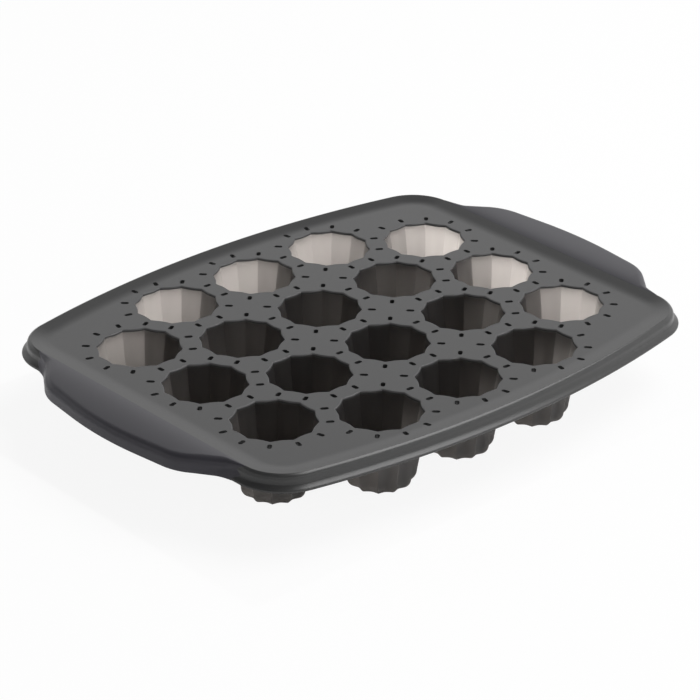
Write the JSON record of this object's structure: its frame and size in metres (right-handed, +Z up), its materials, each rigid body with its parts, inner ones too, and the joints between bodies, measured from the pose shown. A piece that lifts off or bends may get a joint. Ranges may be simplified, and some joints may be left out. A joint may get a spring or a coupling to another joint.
{
  "type": "silicone canele mould",
  "caption": "Flexible silicone baking tray with nested fluted canele cups, a raised wired rim, a grip at each short end, and cup floors that push up to turn the cakes out.",
  "frame": {"origin": "on the surface that the cups stand on, under the middle of the tray", "axes": "+X along the tray to the right grip, +Y along the columns of cups to the back, +Z up out of the cups"},
  "size_m": [0.2684, 0.1996, 0.0336],
  "materials": {
    "deck_silicone": "matte dark grey",
    "rim_silicone": "matte dark grey",
    "grip_silicone": "matte dark grey, a little bluish",
    "cup_silicone": "satin dark grey, thin enough to let strong light through",
    "floor_silicone": "satin dark grey",
    "wire_steel": "drawn wire"
  },
  "bodies": {
    "tray": {"deck": "deck_silicone", "rim_lip": "rim_silicone", "rim_bead": "rim_silicone", "rim_wire": "wire_steel", "grip_left": "grip_silicone", "grip_right": "grip_silicone", "cup_a1_wall": "cup_silicone", "cup_a2_wall": "cup_silicone", "cup_a3_wall": "cup_silicone", "cup_b1_wall": "cup_silicone", "cup_b2_wall": "cup_silicone", "cup_b3_wall": "cup_silicone", "cup_b4_wall": "cup_silicone", "cup_c1_wall": "cup_silicone", "cup_c2_wall": "cup_silicone", "cup_c3_wall": "cup_silicone", "cup_c4_wall": "cup_silicone", "cup_d1_wall": "cup_silicone", "cup_d2_wall": "cup_silicone", "cup_d3_wall": "cup_silicone", "cup_d4_wall": "cup_silicone", "cup_e1_wall": "cup_silicone", "cup_e2_wall": "cup_silicone", "cup_e3_wall": "cup_silicone"},
    "cup_a1_base": {"cup_a1_floor": "floor_silicone"},
    "cup_a2_base": {"cup_a2_floor": "floor_silicone"},
    "cup_a3_base": {"cup_a3_floor": "floor_silicone"},
    "cup_b1_base": {"cup_b1_floor": "floor_silicone"},
    "cup_b2_base": {"cup_b2_floor": "floor_silicone"},
    "cup_b3_base": {"cup_b3_floor": "floor_silicone"},
    "cup_b4_base": {"cup_b4_floor": "floor_silicone"},
    "cup_c1_base": {"cup_c1_floor": "floor_silicone"},
    "cup_c2_base": {"cup_c2_floor": "floor_silicone"},
    "cup_c3_base": {"cup_c3_floor": "floor_silicone"},
    "cup_c4_base": {"cup_c4_floor": "floor_silicone"},
    "cup_d1_base": {"cup_d1_floor": "floor_silicone"},
    "cup_d2_base": {"cup_d2_floor": "floor_silicone"},
    "cup_d3_base": {"cup_d3_floor": "floor_silicone"},
    "cup_d4_base": {"cup_d4_floor": "floor_silicone"},
    "cup_e1_base": {"cup_e1_floor": "floor_silicone"},
    "cup_e2_base": {"cup_e2_floor": "floor_silicone"},
    "cup_e3_base": {"cup_e3_floor": "floor_silicone"}
  },
  "joints": [
    {"name": "cup_a1_push", "type": "slide", "parent": "tray", "child": "cup_a1_base", "axis": [0, 0, 1], "range_m": [0, 0.012], "stiffness_N_per_m": 400},
    {"name": "cup_a2_push", "type": "slide", "parent": "tray", "child": "cup_a2_base", "axis": [0, 0, 1], "range_m": [0, 0.012], "stiffness_N_per_m": 400},
    {"name": "cup_a3_push", "type": "slide", "parent": "tray", "child": "cup_a3_base", "axis": [0, 0, 1], "range_m": [0, 0.012], "stiffness_N_per_m": 400},
    {"name": "cup_b1_push", "type": "slide", "parent": "tray", "child": "cup_b1_base", "axis": [0, 0, 1], "range_m": [0, 0.012], "stiffness_N_per_m": 400},
    {"name": "cup_b2_push", "type": "slide", "parent": "tray", "child": "cup_b2_base", "axis": [0, 0, 1], "range_m": [0, 0.012], "stiffness_N_per_m": 400},
    {"name": "cup_b3_push", "type": "slide", "parent": "tray", "child": "cup_b3_base", "axis": [0, 0, 1], "range_m": [0, 0.012], "stiffness_N_per_m": 400},
    {"name": "cup_b4_push", "type": "slide", "parent": "tray", "child": "cup_b4_base", "axis": [0, 0, 1], "range_m": [0, 0.012], "stiffness_N_per_m": 400},
    {"name": "cup_c1_push", "type": "slide", "parent": "tray", "child": "cup_c1_base", "axis": [0, 0, 1], "range_m": [0, 0.012], "stiffness_N_per_m": 400},
    {"name": "cup_c2_push", "type": "slide", "parent": "tray", "child": "cup_c2_base", "axis": [0, 0, 1], "range_m": [0, 0.012], "stiffness_N_per_m": 400},
    {"name": "cup_c3_push", "type": "slide", "parent": "tray", "child": "cup_c3_base", "axis": [0, 0, 1], "range_m": [0, 0.012], "stiffness_N_per_m": 400},
    {"name": "cup_c4_push", "type": "slide", "parent": "tray", "child": "cup_c4_base", "axis": [0, 0, 1], "range_m": [0, 0.012], "stiffness_N_per_m": 400},
    {"name": "cup_d1_push", "type": "slide", "parent": "tray", "child": "cup_d1_base", "axis": [0, 0, 1], "range_m": [0, 0.012], "stiffness_N_per_m": 400},
    {"name": "cup_d2_push", "type": "slide", "parent": "tray", "child": "cup_d2_base", "axis": [0, 0, 1], "range_m": [0, 0.012], "stiffness_N_per_m": 400},
    {"name": "cup_d3_push", "type": "slide", "parent": "tray", "child": "cup_d3_base", "axis": [0, 0, 1], "range_m": [0, 0.012], "stiffness_N_per_m": 400},
    {"name": "cup_d4_push", "type": "slide", "parent": "tray", "child": "cup_d4_base", "axis": [0, 0, 1], "range_m": [0, 0.012], "stiffness_N_per_m": 400},
    {"name": "cup_e1_push", "type": "slide", "parent": "tray", "child": "cup_e1_base", "axis": [0, 0, 1], "range_m": [0, 0.012], "stiffness_N_per_m": 400},
    {"name": "cup_e2_push", "type": "slide", "parent": "tray", "child": "cup_e2_base", "axis": [0, 0, 1], "range_m": [0, 0.012], "stiffness_N_per_m": 400},
    {"name": "cup_e3_push", "type": "slide", "parent": "tray", "child": "cup_e3_base", "axis": [0, 0, 1], "range_m": [0, 0.012], "stiffness_N_per_m": 400}
  ]
}
